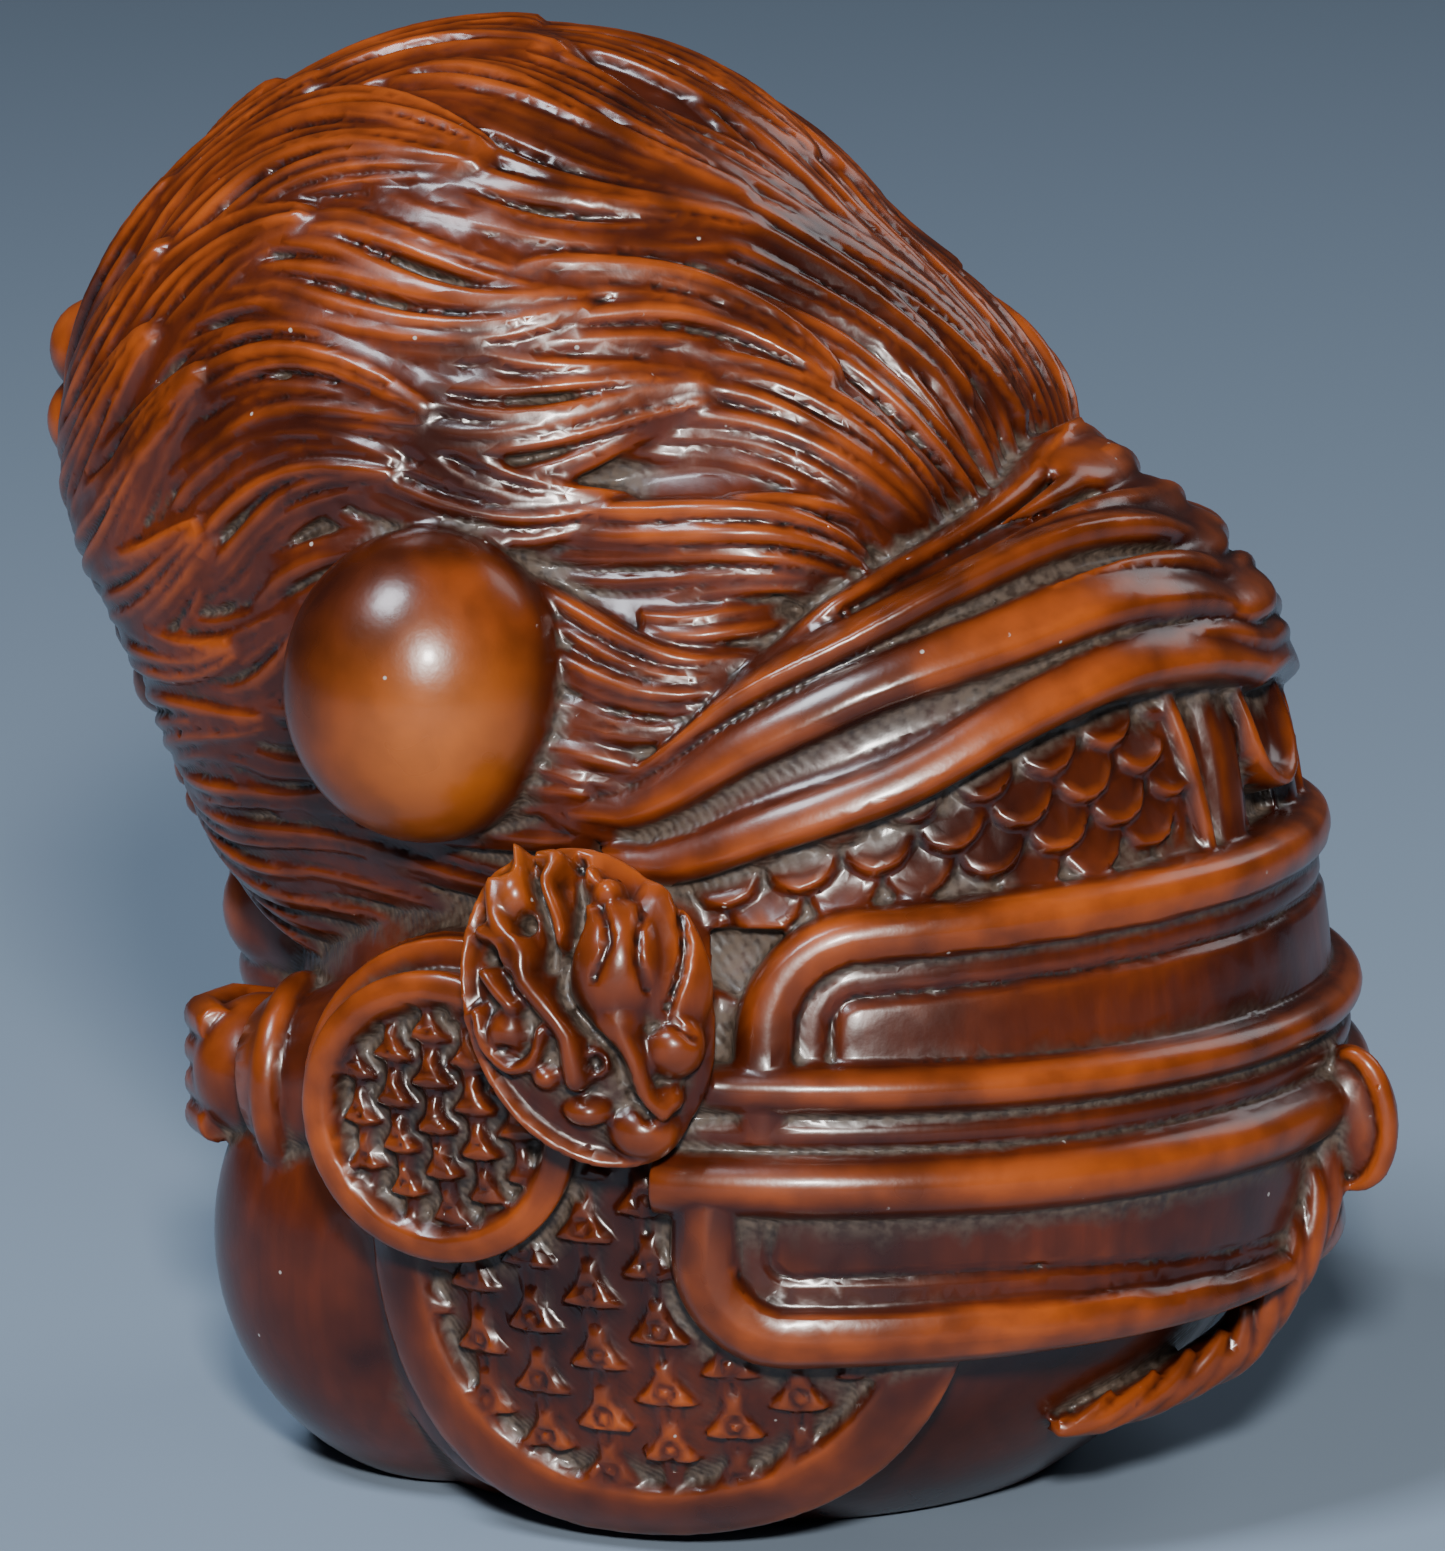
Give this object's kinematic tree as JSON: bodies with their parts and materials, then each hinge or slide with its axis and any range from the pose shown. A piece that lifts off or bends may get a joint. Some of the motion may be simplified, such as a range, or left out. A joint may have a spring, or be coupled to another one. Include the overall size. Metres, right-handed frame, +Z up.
{
  "type": "carved boxwood figurine",
  "caption": "Palm-sized carved boxwood figurine: a squatting armoured monkey with a big head of combed-back hair, round ears, a thick scarf, belt and tail.",
  "frame": {"origin": "middle of the flat spot on the underside that the figurine rests on", "axes": "+Z up, the figure faces -Y and its left side is +X"},
  "size_m": [0.0501, 0.057, 0.0573],
  "materials": {
    "boxwood": "polished carved boxwood, red-brown with darker grooves"
  },
  "bodies": {
    "root": {"figurine": "boxwood"}
  },
  "joints": []
}
